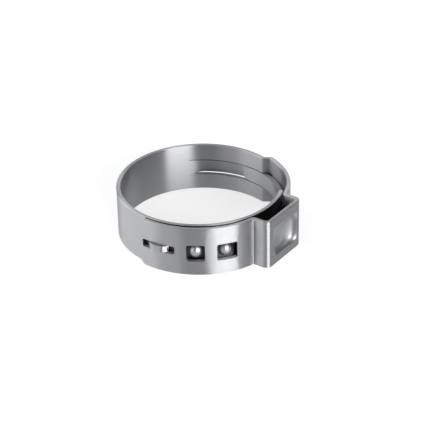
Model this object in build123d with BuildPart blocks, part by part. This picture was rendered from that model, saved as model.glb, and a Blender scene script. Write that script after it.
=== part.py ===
from build123d import *
import os
from math import cos, radians, sin, sqrt

# Ear clamp for hose: one strip of stainless steel wound nearly once and a half round itself.
# Millimetres and degrees. The bore axis is Z, the origin is on that axis at mid-width, and the ear
# points along +X. Angles run counter-clockwise from +X, the way the strip is wound from its outer
# end (under -Y) through the ear, round the back and in under itself again.

# ---- the strip -------------------------------------------------------------------------------
strip_width = 7.0
strip_thickness = 0.6
bore_radius = 10.85          # open size, before the ear is closed
half_width = strip_width / 2
inner_lap_skin = bore_radius + strip_thickness
rim_break = 0.08             # on the long edges of the strip

# ---- how the outer lap lies on the inner one --------------------------------------------------
touch_gap = 0.05             # at the outer end and at both feet of the ear
lap_gap = 0.27               # where the outer lap stands off behind the ear
front_gap = 0.31             # where it stands off over the hooks
outer_end_angle = -98.6
front_high_angle = -42
run_out_angle = 38           # lap behind the ear is round from here on
end_corner = 1.25            # cut corners of the outer end

# ---- the ear ---------------------------------------------------------------------------------
ear_half_length = 3.48       # from the middle of the ear to the inner face of a leg
ear_rise = 1.73              # inner face of the flat crown over the inner lap
foot_bend = 0.45             # bends at mid-thickness, into and out of a leg
crown_bend = 0.65
dish_margin = 0.25           # flat left between the dish and the crown bends
dish_border = 1.35           # and between the dish and the long edges
dish_line = -0.1             # height of its middle against mid-width
dish_depth = 0.42
dish_corner = 1.6
dish_draft = 52
dish_round = 0.75            # soft edges round its rim and its floor

# ---- tongue channel: two rails step in, the bridge between them stays out -----------------------
channel_width = 2.4
rail_step = (69.8, 73.4)     # from lap size down to bore size
bridge_step = (125.5, 134.5)
rail_bend = 0.4              # at mid-thickness
bridge_bend = 2.0
split_start = rail_step[0] - 4   # the strip is whole up to here
split_end = bridge_step[1] + 6   # and again from here

# ---- tongue, the narrowed inner end of the strip ----------------------------------------------
tongue_clearance = 0.15
tongue_width = channel_width - 2 * tongue_clearance
shoulder_angle = 23.4
tongue_tip_angle = 91.0
tongue_tip_cuts = ((0.25, 0.25), (1.0, 0.4))   # along and across, upper and lower corner

# ---- load hooks in their windows ---------------------------------------------------------------
hook_line = -0.2             # height of the hook row against mid-width
window_height = 2.45
window_corner = 0.25
window_angles = (-57.8, -38.1)
window_lengths = (2.45, 2.8)
hook_angles = (-58.0, -38.3)
hook_ball = 1.05             # radius of the pressed dome
hook_proud = 0.82            # height of the dome over the inner lap
hook_face = 0.86             # sheared face, this far before the middle of the dome
hook_wall = 0.5              # wall left over the hollow behind the dome

# ---- guide slot and the guide tab that rides in it ----------------------------------------------
slot_start = -93.9
slot_end = -70.7
slot_height = 1.2
tab_clearance = 0.15
tab_height = slot_height - 2 * tab_clearance
tab_root = -96.5             # lanced free of the inner lap from here
tab_rise = (-93.7, -85.0)    # climbs from the inner lap out through the slot
tab_proud = 0.3              # flat top of the tab over the outer lap
tab_nose = (-79.3, -76.9)    # turns back in at its free end
tab_nose_drop = 0.4
tab_hole_end = -76.4
tab_bend = 0.3               # at mid-thickness

bore_middle = bore_radius + strip_thickness / 2
seat_middle = bore_middle + strip_thickness + touch_gap
front_middle = bore_middle + strip_thickness + front_gap
lap_middle = bore_middle + strip_thickness + lap_gap
tab_middle = lap_middle + tab_proud
ear_middle = inner_lap_skin + ear_rise + strip_thickness / 2
leg_middle = ear_half_length + strip_thickness / 2
foot_middle = sqrt(seat_middle ** 2 - leg_middle ** 2)
dish_length = 2 * (leg_middle - crown_bend - dish_margin)
dish_width = strip_width - 2 * dish_border


def at(radius, angle):
    """Point in plan at a radius and an angle."""
    return (radius * cos(radians(angle)), radius * sin(radians(angle)))


def along(angle):
    """Winding direction of the strip at an angle."""
    return (-sin(radians(angle)), cos(radians(angle)))


def facing(radius, angle, height=0.0):
    """Plane looking outward at a radius and an angle, its X axis along the winding."""
    spot = at(radius, angle)
    return Plane(
        origin=(spot[0], spot[1], height),
        x_dir=(*along(angle), 0),
        z_dir=(cos(radians(angle)), sin(radians(angle)), 0),
    )


def bend(path, corner, radius):
    """Round the corner of a path nearest to a point."""
    fillet(path.vertices().sort_by_distance(corner)[0], radius)


def round_run(inner, outer, first, last, height, mode=Mode.ADD):
    """Round piece of strip centred on mid-width, between two radii and two angles."""
    with BuildSketch(Plane.XY.offset(-height / 2)) as run:
        with BuildLine():
            inside = ThreePointArc(at(inner, first), at(inner, (first + last) / 2), at(inner, last))
            outside = ThreePointArc(at(outer, first), at(outer, (first + last) / 2), at(outer, last))
            Line(inside @ 0, outside @ 0)
            Line(inside @ 1, outside @ 1)
        make_face()
    extrude(run.sketch, amount=height, dir=(0, 0, 1), mode=mode)


def run_through(stops, corner, foot, height):
    """Piece of strip through stops of mid radius and angle: round at one radius, straight between two."""
    with BuildSketch(Plane.XY.offset(foot)) as run:
        with BuildLine() as path:
            for (radius, angle), (next_radius, next_angle) in zip(stops, stops[1:]):
                if radius == next_radius:
                    ThreePointArc(
                        at(radius, angle), at(radius, (angle + next_angle) / 2), at(radius, next_angle)
                    )
                else:
                    Line(at(radius, angle), at(next_radius, next_angle))
            for radius, angle in stops[1:-1]:
                bend(path, at(radius, angle), corner)
        trace(line_width=strip_thickness)
    extrude(run.sketch, amount=height, dir=(0, 0, 1))


def step_stops(step):
    """Stops of a channel piece that steps in from lap size to bore size."""
    return (
        (lap_middle, split_start), (lap_middle, step[0]), (bore_middle, step[1]), (bore_middle, split_end)
    )


hook_centre = inner_lap_skin + hook_proud - hook_ball
hook_planes = [facing(hook_centre, hook_angle, hook_line) for hook_angle in hook_angles]

with BuildPart() as clamp_band:
    # outer lap from its cut end over the hooks to the ear, the ear, and the lap behind the ear
    with BuildSketch(Plane.XY.offset(-half_width)):
        with BuildLine() as winding:
            front = ThreePointArc(
                at(seat_middle, outer_end_angle),
                at((seat_middle + 4 * front_middle) / 5, (outer_end_angle + front_high_angle) / 2),
                at(front_middle, front_high_angle),
            )
            run_in = TangentArc(front @ 1, (foot_middle, -leg_middle), tangent=front % 1)
            leg_up = Line(run_in @ 1, (ear_middle, -leg_middle))
            crown = Line(leg_up @ 1, (ear_middle, leg_middle))
            leg_down = Line(crown @ 1, (foot_middle, leg_middle))
            flare = TangentArc(
                at(lap_middle, run_out_angle),
                leg_down @ 1,
                tangent=along(run_out_angle + 180),
                mode=Mode.PRIVATE,
            )
            run_out = ThreePointArc(leg_down @ 1, flare @ 0.5, at(lap_middle, run_out_angle))
            ThreePointArc(
                run_out @ 1,
                at(lap_middle, (run_out_angle + split_start) / 2),
                at(lap_middle, split_start),
            )
            bend(winding, leg_up @ 0, foot_bend)
            bend(winding, leg_down @ 1, foot_bend)
            bend(winding, crown @ 0, crown_bend)
            bend(winding, crown @ 1, crown_bend)
        trace(line_width=strip_thickness)
    extrude(amount=strip_width)

    # cut corners of the outer end
    for side in (1, -1):
        with BuildSketch(facing(seat_middle, outer_end_angle)):
            with BuildLine():
                Polyline(
                    (-strip_thickness, side * (half_width + strip_thickness)),
                    (end_corner + strip_thickness, side * (half_width + strip_thickness)),
                    (-strip_thickness, side * (half_width - end_corner - strip_thickness)),
                    close=True,
                )
            make_face()
        extrude(amount=2, both=True, mode=Mode.SUBTRACT)

    # windows for the two load hooks, and the long slot the guide tab rides in
    for window_angle, window_length in zip(window_angles, window_lengths):
        with BuildSketch(facing(lap_middle, window_angle, hook_line)):
            RectangleRounded(window_length, window_height, window_corner)
        extrude(amount=2, both=True, mode=Mode.SUBTRACT)
    slot_middle = (slot_start + slot_end) / 2
    slot_length = 2 * lap_middle * sin(radians((slot_end - slot_start) / 2))
    with BuildSketch(facing(lap_middle, slot_middle)):
        RectangleRounded(slot_length, slot_height, window_corner)
    extrude(amount=2, both=True, mode=Mode.SUBTRACT)

    # load hooks in the windows: domes pressed out of the inner lap, each sheared flat on the side
    # that takes the pull; below mid-thickness they merge into that lap
    for hook_plane in hook_planes:
        with Locations(hook_plane):
            Sphere(hook_ball)
            with Locations((-(hook_face + hook_ball) / 2, 0, 0)):
                Box(hook_ball - hook_face, 2 * hook_ball, 2 * hook_ball, mode=Mode.SUBTRACT)
    Cylinder(bore_middle, strip_width, mode=Mode.SUBTRACT)

    # shallow dish pressed into the flat crown of the ear, showing as a boss on its underside
    crown_plane = facing(ear_middle + strip_thickness / 2, 0, dish_line)
    with BuildSketch(crown_plane.offset(-strip_thickness)):
        RectangleRounded(dish_length, dish_width, dish_corner)
    extrude(amount=-dish_depth, taper=dish_draft)
    with BuildSketch(crown_plane):
        RectangleRounded(dish_length, dish_width, dish_corner)
    extrude(amount=-dish_depth, taper=dish_draft, mode=Mode.SUBTRACT)
    dish_edges = clamp_band.edges(Select.LAST).group_by(Axis.X)
    fillet(dish_edges[0] + dish_edges[-1], dish_round)

    # tongue at the inner end of the strip, between the rails, with two cut corners at its tip
    round_run(bore_radius, inner_lap_skin, shoulder_angle, tongue_tip_angle, tongue_width)
    for side, (cut_along, cut_across) in zip((1, -1), tongue_tip_cuts):
        with BuildSketch(facing(bore_middle, tongue_tip_angle)):
            with BuildLine():
                Polyline(
                    (cut_along / 2, side * (tongue_width + cut_across) / 2),
                    (-cut_along * 1.5, side * (tongue_width + cut_across) / 2),
                    (cut_along / 2, side * (tongue_width / 2 - cut_across * 1.5)),
                    close=True,
                )
            make_face()
        extrude(amount=strip_thickness * 0.6, both=True, mode=Mode.SUBTRACT)

    # rails either side of the channel step in to the bore size, the bridge between them stays out
    rail_width = (strip_width - channel_width) / 2
    for rail_foot in (-half_width, channel_width / 2):
        run_through(step_stops(rail_step), rail_bend, rail_foot, rail_width)
    run_through(step_stops(bridge_step), bridge_bend, -channel_width / 2, channel_width)

    # plain single lap round the back, on under the outer lap and the ear as far as the shoulder,
    # where the tongue carries on
    round_run(bore_radius, inner_lap_skin, split_end, shoulder_angle + 360, strip_width)

    # hollows left behind the hooks by the punch
    for hook_plane in hook_planes:
        with Locations(hook_plane):
            Sphere(hook_ball - hook_wall, mode=Mode.SUBTRACT)
        with BuildSketch(hook_plane):
            Circle(hook_ball - hook_wall)
        extrude(amount=-2, mode=Mode.SUBTRACT)

    # guide tab, lanced out of the inner lap, bent up through the slot, its nose turned back in
    round_run(
        bore_radius - touch_gap, inner_lap_skin + touch_gap / 2,
        tab_root, tab_hole_end, slot_height, Mode.SUBTRACT,
    )
    tab_stops = (
        (bore_middle, tab_root),
        (bore_middle, tab_rise[0]),
        (tab_middle, tab_rise[1]),
        (tab_middle, tab_nose[0]),
        (tab_middle - tab_nose_drop, tab_nose[1]),
    )
    run_through(tab_stops, tab_bend, -tab_height / 2, tab_height)

    # long edges broken all round
    rim_edges = clamp_band.edges().group_by(Axis.Z)
    chamfer(rim_edges[0] + rim_edges[-1], rim_break)

clamp_band.part.label = "clamp_band"
os.makedirs("parts", exist_ok=True)
export_step(clamp_band.part, "parts/clamp_band.step")
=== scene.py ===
# %% [markdown]
# # Ear hose clamp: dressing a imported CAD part
# The clamp is one strip of stainless steel, wound round itself. Its whole form comes from the CAD
# model, so this lesson is about the finish of the strip, the studio round it and the camera.

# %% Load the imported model
import math

import bpy
from mathutils import Matrix, Vector


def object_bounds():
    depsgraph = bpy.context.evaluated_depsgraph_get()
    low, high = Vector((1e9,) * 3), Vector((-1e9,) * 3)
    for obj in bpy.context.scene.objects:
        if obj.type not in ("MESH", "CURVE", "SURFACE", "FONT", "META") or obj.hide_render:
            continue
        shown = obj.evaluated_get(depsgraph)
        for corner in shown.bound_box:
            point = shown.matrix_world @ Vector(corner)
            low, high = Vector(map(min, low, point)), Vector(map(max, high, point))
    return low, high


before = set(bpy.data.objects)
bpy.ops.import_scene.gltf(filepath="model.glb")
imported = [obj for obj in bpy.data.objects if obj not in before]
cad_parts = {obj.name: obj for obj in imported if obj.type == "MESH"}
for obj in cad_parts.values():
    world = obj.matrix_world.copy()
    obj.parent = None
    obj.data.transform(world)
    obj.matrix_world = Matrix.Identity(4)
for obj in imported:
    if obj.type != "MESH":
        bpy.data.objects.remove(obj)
cad_low, cad_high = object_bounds()
MM = 0.001
print("CAD box in mm:", [round(v / MM, 2) for v in cad_high - cad_low])


# %% [markdown]
# ## Colours and nodes
# Colours are written as the sRGB hex values a designer would pick, and one function turns them to
# the linear values that Blender's sockets hold. A second function adds a node with its properties
# and inputs. An input is a value to set or another node's output to link.

# %% Small helpers
def linear(hex_colour):
    """An sRGB hex colour as linear RGBA."""
    parts = [int(hex_colour[i:i + 2], 16) / 255 for i in (1, 3, 5)]
    return [c / 12.92 if c <= 0.04045 else ((c + 0.055) / 1.055) ** 2.4 for c in parts] + [1.0]


def add_node(tree, kind, inputs=None, **properties):
    """Add a node, set its properties, and set or link its inputs, given by name or number."""
    node = tree.nodes.new(kind)
    for name, value in properties.items():
        setattr(node, name, value)
    for socket, source in (inputs or {}).items():
        if isinstance(source, bpy.types.NodeSocket):
            tree.links.new(source, node.inputs[socket])
        else:
            node.inputs[socket].default_value = source
    return node


def new_material(name):
    """An empty node material."""
    material = bpy.data.materials.new(name)
    material.use_nodes = True
    material.node_tree.nodes.clear()
    return material


def all_true(tree, tests):
    """An output that is 1 where every (output, operation, limit) holds, else 0."""
    result = None
    for source, operation, limit in tests:
        test = add_node(tree, "ShaderNodeMath", {0: source, 1: limit}, operation=operation).outputs[0]
        if result:
            both = add_node(tree, "ShaderNodeMath", {0: result, 1: test}, operation="MULTIPLY")
            test = both.outputs[0]
        result = test
    return result


# the Mix node's inputs and outputs, which share their names, by number
VECTOR_A, VECTOR_B, VECTOR_RESULT = 4, 5, 1
COLOUR_A, COLOUR_B, COLOUR_RESULT = 6, 7, 2

# %% [markdown]
# ## The strip's finish
# Stainless strip (grade 1.4301) leaves the mill cold-rolled: smooth, mid grey and bright, with very
# fine lines along its length. The lines blur what it mirrors across them and leave it sharp along
# them, so light and dark run over its full width as clean bands. An anisotropic metal gives that. Its
# tangent, the way in which highlights are drawn out, points across the strip: straight up on the
# upright faces, and outward on the rims.
#
# Pressing wipes the lines out, so the domes of the load hooks and the floor of the dish mirror alike
# all ways. Few rays find their way between the laps, into the ear or under the edge of the upper rail,
# so shade is painted into the colour of those faces: they are darkened towards black.

# %% Sizes of the finish
ROLL_LINE = 0.05 * MM       # spacing of the rolling lines that still show, coarser than the finest
LINE_LENGTH = 3.0 * MM
LINE_HEIGHT = 0.002 * MM
LINE_STRENGTH = 0.08
STEEL_DARK = "#909194"
STEEL_LIGHT = "#A0A0A1"
ROLLED_ROUGHNESS, DISH_ROUGHNESS = 0.38, 0.47
ROLLED_GRAIN, PRESSED_GRAIN = 1.0, 0.2      # how far the lines draw a highlight out
RIM_UPWARD = 0.8                            # a face whose normal is this upright is a rim
UPRIGHT_UPWARD = 0.3                        # and below this it is an upright face

DISH_MIDDLE = (13.27 * MM, 0, -0.1 * MM)    # just under the floor of the dish in the ear
DISH_HALF_LENGTH = 2.88 * MM
DISH_HALF_WIDTH = 2.15 * MM
DISH_HOLLOW = 1.7 * MM                      # steeper than the press leaves it, so that it shows
DISH_WIDTH_POWER = 0.4                      # below 1 the hollow is flatter across than along
DISH_EDGE = 0.001

HOOK_MIDDLES = ((5.95 * MM, -9.51 * MM, -0.2 * MM), (8.81 * MM, -6.95 * MM, -0.2 * MM))
HOOK_RADIUS = 1.12 * MM

# painted shade: how far, and where, the colour of covered faces is darkened
PAINTED_SHADE_DEPTH = 0.85
LAP_SHADE = {"angle": (-93.9, 14), "radius": (11.40 * MM, 11.60 * MM)}   # the inner lap's covered face
EAR_SHADE = {"out_to": 13.25 * MM, "half_length": 2.95 * MM}             # the inside of the ear
LEDGE_SHADE = {                                                          # under the upper rail
    "angle": (66, 135.5), "radius": (10.90 * MM, 12.2 * MM), "rail_radius": 10.85 * MM, "slope": 0.593,
    "low_edge": 1.05 * MM, "top": 1.25 * MM, "depth": 0.55,
}
STEP_BLEND = {"angle": (123.0, 137.0), "half_height": 1.25 * MM, "share": 0.92}  # the bridge's run-in
FACES_INWARDS = -0.3                        # outward share of the normal on a face towards the bore


# %% Where a point lies on the clamp
def position_of(tree):
    """The outputs that place a point: its own coordinates, normal, radius, angle and so on."""
    place = add_node(tree, "ShaderNodeTexCoord").outputs["Object"]
    normal = add_node(tree, "ShaderNodeNewGeometry").outputs["Normal"]
    normal_parts = add_node(tree, "ShaderNodeSeparateXYZ", {0: normal})
    upward = add_node(tree, "ShaderNodeMath", {0: normal_parts.outputs["Z"]}, operation="ABSOLUTE")
    parts = add_node(tree, "ShaderNodeSeparateXYZ", {0: place})
    flat_place = add_node(tree, "ShaderNodeVectorMath", {0: place, 1: (1, 1, 0)}, operation="MULTIPLY")
    radius = add_node(tree, "ShaderNodeVectorMath", {0: flat_place.outputs[0]}, operation="LENGTH")
    radial = add_node(tree, "ShaderNodeVectorMath", {0: flat_place.outputs[0]}, operation="NORMALIZE")
    angle = add_node(
        tree, "ShaderNodeMath", {0: parts.outputs["Y"], 1: parts.outputs["X"]}, operation="ARCTAN2"
    )
    outwards = add_node(
        tree, "ShaderNodeVectorMath", {0: normal, 1: radial.outputs[0]}, operation="DOT_PRODUCT"
    )
    return {
        "place": place, "normal": normal, "upward": upward.outputs[0], "x": parts.outputs["X"],
        "y": parts.outputs["Y"], "z": parts.outputs["Z"], "radius": radius.outputs["Value"],
        "radial": radial.outputs[0], "angle": angle.outputs[0], "outwards": outwards.outputs["Value"],
    }


# %% Across the strip, and the bridge's run-in
def crosswise(tree, spot):
    """The tangent: up on upright faces, outward on the rims."""
    on_rim = add_node(
        tree, "ShaderNodeMath", {0: spot["upward"], 1: RIM_UPWARD}, operation="GREATER_THAN"
    )
    tangent = add_node(
        tree, "ShaderNodeMix",
        {"Factor": on_rim.outputs[0], VECTOR_A: (0, 0, 1), VECTOR_B: spot["place"]}, data_type="VECTOR",
    )
    return tangent.outputs[VECTOR_RESULT]


def smooth_run_in(tree, spot):
    """The normal, leaning to the bore's own where the bridge is drawn smoothly out of the band."""
    which_way = add_node(tree, "ShaderNodeMath", {0: spot["outwards"]}, operation="SIGN")
    plain = add_node(
        tree, "ShaderNodeVectorMath", {0: spot["radial"], "Scale": which_way.outputs[0]}, operation="SCALE"
    )
    height = add_node(tree, "ShaderNodeMath", {0: spot["z"]}, operation="ABSOLUTE")
    in_step = all_true(tree, (
        (spot["angle"], "GREATER_THAN", math.radians(STEP_BLEND["angle"][0])),
        (spot["angle"], "LESS_THAN", math.radians(STEP_BLEND["angle"][1])),
        (height.outputs[0], "LESS_THAN", STEP_BLEND["half_height"]),
        (spot["upward"], "LESS_THAN", UPRIGHT_UPWARD),
    ))
    share = add_node(tree, "ShaderNodeMath", {0: in_step, 1: STEP_BLEND["share"]}, operation="MULTIPLY")
    smooth = add_node(
        tree, "ShaderNodeMix",
        {"Factor": share.outputs[0], VECTOR_A: spot["normal"], VECTOR_B: plain.outputs[0]},
        data_type="VECTOR",
    )
    return smooth.outputs[VECTOR_RESULT]


# %% The hollow of the dish
def dish_hollow(tree, spot):
    """1 in the middle of the dish's floor, falling to 0 at its edge and everywhere else."""
    offset = add_node(
        tree, "ShaderNodeVectorMath", {0: spot["place"], 1: DISH_MIDDLE}, operation="SUBTRACT"
    )
    share = add_node(
        tree, "ShaderNodeVectorMath", {0: offset.outputs[0], 1: (1, DISH_HALF_LENGTH, DISH_HALF_WIDTH)},
        operation="DIVIDE",
    )
    squares = add_node(
        tree, "ShaderNodeVectorMath", {0: share.outputs[0], 1: share.outputs[0]}, operation="MULTIPLY"
    )
    shares = add_node(tree, "ShaderNodeSeparateXYZ", {0: squares.outputs[0]})
    along = add_node(
        tree, "ShaderNodeMath", {0: 1, 1: shares.outputs["Y"]}, operation="SUBTRACT", use_clamp=True
    )
    across = add_node(
        tree, "ShaderNodeMath", {0: 1, 1: shares.outputs["Z"]}, operation="SUBTRACT", use_clamp=True
    )
    flat_across = add_node(
        tree, "ShaderNodeMath", {0: across.outputs[0], 1: DISH_WIDTH_POWER}, operation="POWER"
    )
    bowl = add_node(
        tree, "ShaderNodeMath", {0: along.outputs[0], 1: flat_across.outputs[0]}, operation="MULTIPLY"
    )
    reach = add_node(tree, "ShaderNodeSeparateXYZ", {0: offset.outputs[0]})
    outside = add_node(
        tree, "ShaderNodeMath", {0: reach.outputs["X"], 1: 0}, operation="GREATER_THAN"
    )
    hollow = add_node(
        tree, "ShaderNodeMath", {0: bowl.outputs[0], 1: outside.outputs[0]}, operation="MULTIPLY"
    )
    return hollow.outputs[0]


# %% The domes of the load hooks
def on_hooks(tree, spot):
    """1 on the domes that stand out of the inner lap, else 0."""
    domes = []
    for hook_middle in HOOK_MIDDLES:
        away = add_node(
            tree, "ShaderNodeVectorMath", {0: spot["place"], 1: hook_middle}, operation="DISTANCE"
        )
        domes.append(all_true(tree, (
            (away.outputs["Value"], "LESS_THAN", HOOK_RADIUS),
            (spot["radius"], "GREATER_THAN", LAP_SHADE["radius"][0]),
        )))
    return add_node(tree, "ShaderNodeMath", {0: domes[0], 1: domes[1]}, operation="MAXIMUM").outputs[0]


# %% Faces with painted shade
def shade(tree, spot):
    """How far painted shade darkens each covered face's colour, from 0 to 1."""
    between_laps = all_true(tree, (
        (spot["angle"], "GREATER_THAN", math.radians(LAP_SHADE["angle"][0])),
        (spot["angle"], "LESS_THAN", math.radians(LAP_SHADE["angle"][1])),
        (spot["radius"], "GREATER_THAN", LAP_SHADE["radius"][0]),
        (spot["radius"], "LESS_THAN", LAP_SHADE["radius"][1]),
    ))
    side = add_node(tree, "ShaderNodeMath", {0: spot["y"]}, operation="ABSOLUTE")
    in_ear = all_true(tree, (
        (spot["radius"], "GREATER_THAN", LAP_SHADE["radius"][0]),
        (spot["x"], "GREATER_THAN", 0),
        (spot["x"], "LESS_THAN", EAR_SHADE["out_to"]),
        (side.outputs[0], "LESS_THAN", EAR_SHADE["half_length"]),
    ))
    covered = add_node(tree, "ShaderNodeMath", {0: between_laps, 1: in_ear}, operation="MAXIMUM")
    cover = add_node(
        tree, "ShaderNodeMath", {0: covered.outputs[0], 1: PAINTED_SHADE_DEPTH}, operation="MULTIPLY"
    )
    # painted shade: the bridge lies behind the upper rail, and the rail edge's shade, painted into the
    # colour, slopes down to it
    ledge = add_node(
        tree, "ShaderNodeMath", {0: spot["radius"], 1: LEDGE_SHADE["slope"], 2: spot["z"]},
        operation="MULTIPLY_ADD",
    )
    under_rail = all_true(tree, (
        (spot["angle"], "GREATER_THAN", math.radians(LEDGE_SHADE["angle"][0])),
        (spot["angle"], "LESS_THAN", math.radians(LEDGE_SHADE["angle"][1])),
        (spot["radius"], "GREATER_THAN", LEDGE_SHADE["radius"][0]),
        (spot["radius"], "LESS_THAN", LEDGE_SHADE["radius"][1]),
        (spot["outwards"], "LESS_THAN", FACES_INWARDS),
        (spot["z"], "LESS_THAN", LEDGE_SHADE["top"]),
        (
            ledge.outputs[0], "GREATER_THAN",
            LEDGE_SHADE["low_edge"] + LEDGE_SHADE["slope"] * LEDGE_SHADE["rail_radius"],
        ),
    ))
    rail_shade = add_node(
        tree, "ShaderNodeMath", {0: under_rail, 1: LEDGE_SHADE["depth"]}, operation="MULTIPLY"
    )
    return add_node(
        tree, "ShaderNodeMath", {0: cover.outputs[0], 1: rail_shade.outputs[0]}, operation="MAXIMUM"
    ).outputs[0]


# %% Cold-rolled stainless strip
def rolled_stainless():
    material = new_material("stainless_strip_cold_rolled")
    tree = material.node_tree
    spot = position_of(tree)
    stretch = add_node(
        tree, "ShaderNodeMapping",
        {"Vector": spot["place"], "Scale": (1 / LINE_LENGTH, 1 / LINE_LENGTH, 1 / ROLL_LINE)},
    )
    lines = add_node(
        tree, "ShaderNodeTexNoise", {"Vector": stretch.outputs["Vector"], "Scale": 1.0, "Detail": 3.0}
    )
    hollow = dish_hollow(tree, spot)
    dish = add_node(
        tree, "ShaderNodeBump",
        {"Height": hollow, "Normal": smooth_run_in(tree, spot), "Strength": 1.0, "Distance": DISH_HOLLOW},
        invert=True,
    )
    line_relief = add_node(
        tree, "ShaderNodeBump",
        {
            "Height": lines.outputs["Fac"], "Normal": dish.outputs["Normal"],
            "Strength": LINE_STRENGTH, "Distance": LINE_HEIGHT,
        },
    )
    in_dish = add_node(tree, "ShaderNodeMath", {0: hollow, 1: DISH_EDGE}, operation="GREATER_THAN")
    pressed = add_node(
        tree, "ShaderNodeMath", {0: on_hooks(tree, spot), 1: in_dish.outputs[0]}, operation="MAXIMUM"
    )
    grain = add_node(
        tree, "ShaderNodeMapRange",
        {"Value": pressed.outputs[0], "To Min": ROLLED_GRAIN, "To Max": PRESSED_GRAIN},
    )
    roughness = add_node(
        tree, "ShaderNodeMapRange",
        {"Value": in_dish.outputs[0], "To Min": ROLLED_ROUGHNESS, "To Max": DISH_ROUGHNESS},
    )
    tint = add_node(
        tree, "ShaderNodeMix",
        {"Factor": lines.outputs["Fac"], COLOUR_A: linear(STEEL_DARK), COLOUR_B: linear(STEEL_LIGHT)},
        data_type="RGBA",
    )
    # painted shade: the colour of covered faces is mixed towards black
    toned = add_node(
        tree, "ShaderNodeMix",
        {"Factor": shade(tree, spot), COLOUR_A: tint.outputs[COLOUR_RESULT], COLOUR_B: (0, 0, 0, 1)},
        data_type="RGBA",
    )
    steel = add_node(
        tree, "ShaderNodeBsdfPrincipled",
        {
            "Base Color": toned.outputs[COLOUR_RESULT], "Normal": line_relief.outputs["Normal"],
            "Tangent": crosswise(tree, spot), "Anisotropic": grain.outputs["Result"],
            "Roughness": roughness.outputs["Result"], "Metallic": 1.0,
        },
    )
    add_node(tree, "ShaderNodeOutputMaterial", {"Surface": steel.outputs["BSDF"]})
    return material


stainless = rolled_stainless()
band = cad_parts["clamp_band"]
for slot in band.material_slots:
    slot.material = stainless
print("clamp_band triangles:", len(band.data.polygons))

# %% [markdown]
# ## Floor and backdrop
# The clamp lies on a plain white table. The floor is matt and lit by the lamps, so it keeps the
# clamp's soft shadow. What the camera and the metal see of it is lifted to white by a little light of
# its own, and the world behind it is white for them too.

# %% Floor
FLOOR_SIZE = 2.0
FLOOR_COLOUR = "#B6B6B6"
FLOOR_LIFT = 0.6
WHITE = (1, 1, 1, 1)


def seen_directly(tree):
    """1 for the rays of the camera, of glossy reflection and of transmission, else 0."""
    path = add_node(tree, "ShaderNodeLightPath")
    seen = add_node(
        tree, "ShaderNodeMath",
        {0: path.outputs["Is Camera Ray"], 1: path.outputs["Is Glossy Ray"]}, operation="MAXIMUM",
    )
    return add_node(
        tree, "ShaderNodeMath",
        {0: seen.outputs[0], 1: path.outputs["Is Transmission Ray"]}, operation="MAXIMUM",
    ).outputs[0]


def white_table():
    material = new_material("matt_white_table")
    tree = material.node_tree
    lift = add_node(
        tree, "ShaderNodeMath", {0: seen_directly(tree), 1: FLOOR_LIFT}, operation="MULTIPLY"
    )
    matt = add_node(tree, "ShaderNodeBsdfDiffuse", {"Color": linear(FLOOR_COLOUR)})
    glow = add_node(tree, "ShaderNodeEmission", {"Color": WHITE, "Strength": lift.outputs[0]})
    both = add_node(tree, "ShaderNodeAddShader", {0: matt.outputs[0], 1: glow.outputs[0]})
    add_node(tree, "ShaderNodeOutputMaterial", {"Surface": both.outputs[0]})
    return material


bpy.ops.object.select_all(action="DESELECT")
bpy.ops.mesh.primitive_plane_add(size=FLOOR_SIZE, location=(0, 0, cad_low.z))
floor = bpy.context.object
floor.name = "table_top"
floor.data.materials.append(white_table())
print("floor at mm:", round(cad_low.z / MM, 2))

# %% World
SKY_COLOUR = "#F4F6FA"
SKY_STRENGTH = 0.6

world = bpy.data.worlds.new("white_studio")
bpy.context.scene.world = world
world.use_nodes = True
sky = world.node_tree
sky.nodes.clear()
room_light = add_node(
    sky, "ShaderNodeBackground", {"Color": linear(SKY_COLOUR), "Strength": SKY_STRENGTH}
)
backdrop = add_node(sky, "ShaderNodeBackground", {"Color": WHITE, "Strength": 1.0})
blend = add_node(
    sky, "ShaderNodeMixShader", {0: seen_directly(sky), 1: room_light.outputs[0], 2: backdrop.outputs[0]}
)
add_node(sky, "ShaderNodeOutputWorld", {"Surface": blend.outputs[0]})
print("world nodes:", len(sky.nodes))

# %% [markdown]
# ## Room and lamps
# A mirror-like part is lit by its surroundings. Dark walls stand round the table, out of the camera's
# view, and the soft boxes stand before them, as a product photographer would set them. The key is at
# the right of the camera and draws the bright band beside the windows. The fill is a wide, weak one
# at the left, and a weaker one between it and the camera lets it fade. What is left between them, the
# room behind the camera, shows as the dark band. A weak box at the back lights the rims.

# %% Dark walls round the table
VIEW_AZIMUTH = 35.5          # degrees, 0 looks along +Y
VIEW_ELEVATION = 30.67
ROOM_SIZE = 1.2
WALL_COLOUR = "#4A4D55"
WALLS = (                    # name, turn from the camera's azimuth in degrees, height in metres
    ("wall_behind_camera", 0, 0.7),
    ("wall_right", 90, 0.5),
    ("wall_far", 180, 0.3),
    ("wall_left", 270, 0.5),
)

wall_paint = new_material("dark_wall_paint")
paint = add_node(wall_paint.node_tree, "ShaderNodeBsdfDiffuse", {"Color": linear(WALL_COLOUR)})
add_node(wall_paint.node_tree, "ShaderNodeOutputMaterial", {"Surface": paint.outputs[0]})
for wall_name, wall_turn, wall_height in WALLS:
    bpy.ops.object.select_all(action="DESELECT")
    bpy.ops.mesh.primitive_plane_add(size=1)
    wall = bpy.context.object
    wall.name = wall_name
    wall_azimuth = math.radians(VIEW_AZIMUTH + wall_turn)
    wall.location = (
        ROOM_SIZE / 2 * math.sin(wall_azimuth), -ROOM_SIZE / 2 * math.cos(wall_azimuth),
        cad_low.z + wall_height / 2,
    )
    wall.rotation_euler = (math.pi / 2, 0, wall_azimuth)
    wall.scale = (ROOM_SIZE, wall_height, 1)
    wall.data.materials.append(wall_paint)
print("walls:", [name for name, turn, height in WALLS])


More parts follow.
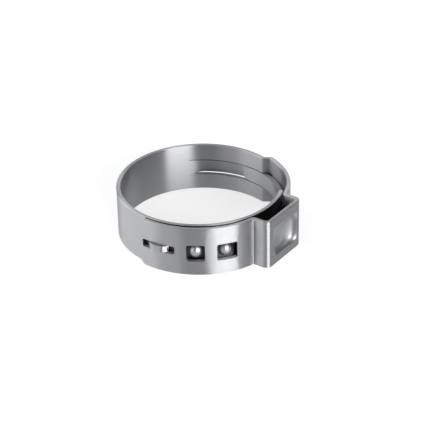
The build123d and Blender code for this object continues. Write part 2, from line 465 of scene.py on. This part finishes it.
# %% Soft boxes
SOFT_BOXES = (
    # name, azimuth from the camera's and elevation in degrees, distance, width and height in metres, watts
    ("key_right", 30, 16, 0.40, 0.27, 0.24, 2.45),
    ("fill_left", -95, 19, 0.40, 0.56, 0.32, 1.95),
    ("fill_near", -44, 15, 0.40, 0.24, 0.21, 0.26),
    ("back_light", 165, 24, 0.45, 0.50, 0.16, 0.3),
)


def soft_box(name, azimuth, elevation, distance, width, height, watts):
    """An area lamp that faces the clamp, placed by its angles as seen from the camera's azimuth."""
    lamp = bpy.data.lights.new(name, "AREA")
    lamp.shape = "RECTANGLE"
    lamp.size = width
    lamp.size_y = height
    lamp.energy = watts
    stand = bpy.data.objects.new(name, lamp)
    bpy.context.scene.collection.objects.link(stand)
    turn = math.radians(VIEW_AZIMUTH + azimuth)
    rise = math.radians(elevation)
    stand.location = distance * Vector(
        (math.sin(turn) * math.cos(rise), -math.cos(turn) * math.cos(rise), math.sin(rise))
    )
    stand.rotation_euler = (-stand.location).to_track_quat("-Z", "Y").to_euler()


for box in SOFT_BOXES:
    soft_box(*box)
print("lamps:", [lamp.name for lamp in bpy.data.lights])

# %% [markdown]
# ## Camera
# A long lens from a little above, turned so that the windows face it and the ear is at the right.

# %% Camera
CAMERA_DISTANCE = 217.35 * MM
CAMERA_ROLL = 1.10           # degrees
LENS = 132.44                # for the 36 mm sensor, in a square picture
NEAR_CLIP = 0.01
SIDE_STEP = -1.949 * MM      # where the bore's centre lies from the line of sight, to the right
DROP_STEP = -1.384 * MM      # and downwards

turn = math.radians(VIEW_AZIMUTH)
rise = math.radians(VIEW_ELEVATION)
roll = math.radians(CAMERA_ROLL)
forward = Vector((-math.sin(turn) * math.cos(rise), math.cos(turn) * math.cos(rise), -math.sin(rise)))
level_right = Vector((math.cos(turn), math.sin(turn), 0))
level_down = forward.cross(level_right)
right = math.cos(roll) * level_right + math.sin(roll) * level_down
down = math.cos(roll) * level_down - math.sin(roll) * level_right

lens = bpy.data.cameras.new("product_camera")
lens.lens = LENS
lens.sensor_fit = "HORIZONTAL"
lens.clip_start = NEAR_CLIP
camera = bpy.data.objects.new("product_camera", lens)
bpy.context.scene.collection.objects.link(camera)
camera.matrix_world = Matrix.Translation(
    -(CAMERA_DISTANCE * forward + SIDE_STEP * right + DROP_STEP * down)
) @ Matrix((right, -down, -forward)).transposed().to_4x4()
bpy.context.scene.camera = camera
bpy.context.scene.view_settings.view_transform = "Standard"
print("camera at mm:", [round(v / MM, 1) for v in camera.location])

# %% Update the view layer
bpy.context.view_layer.update()
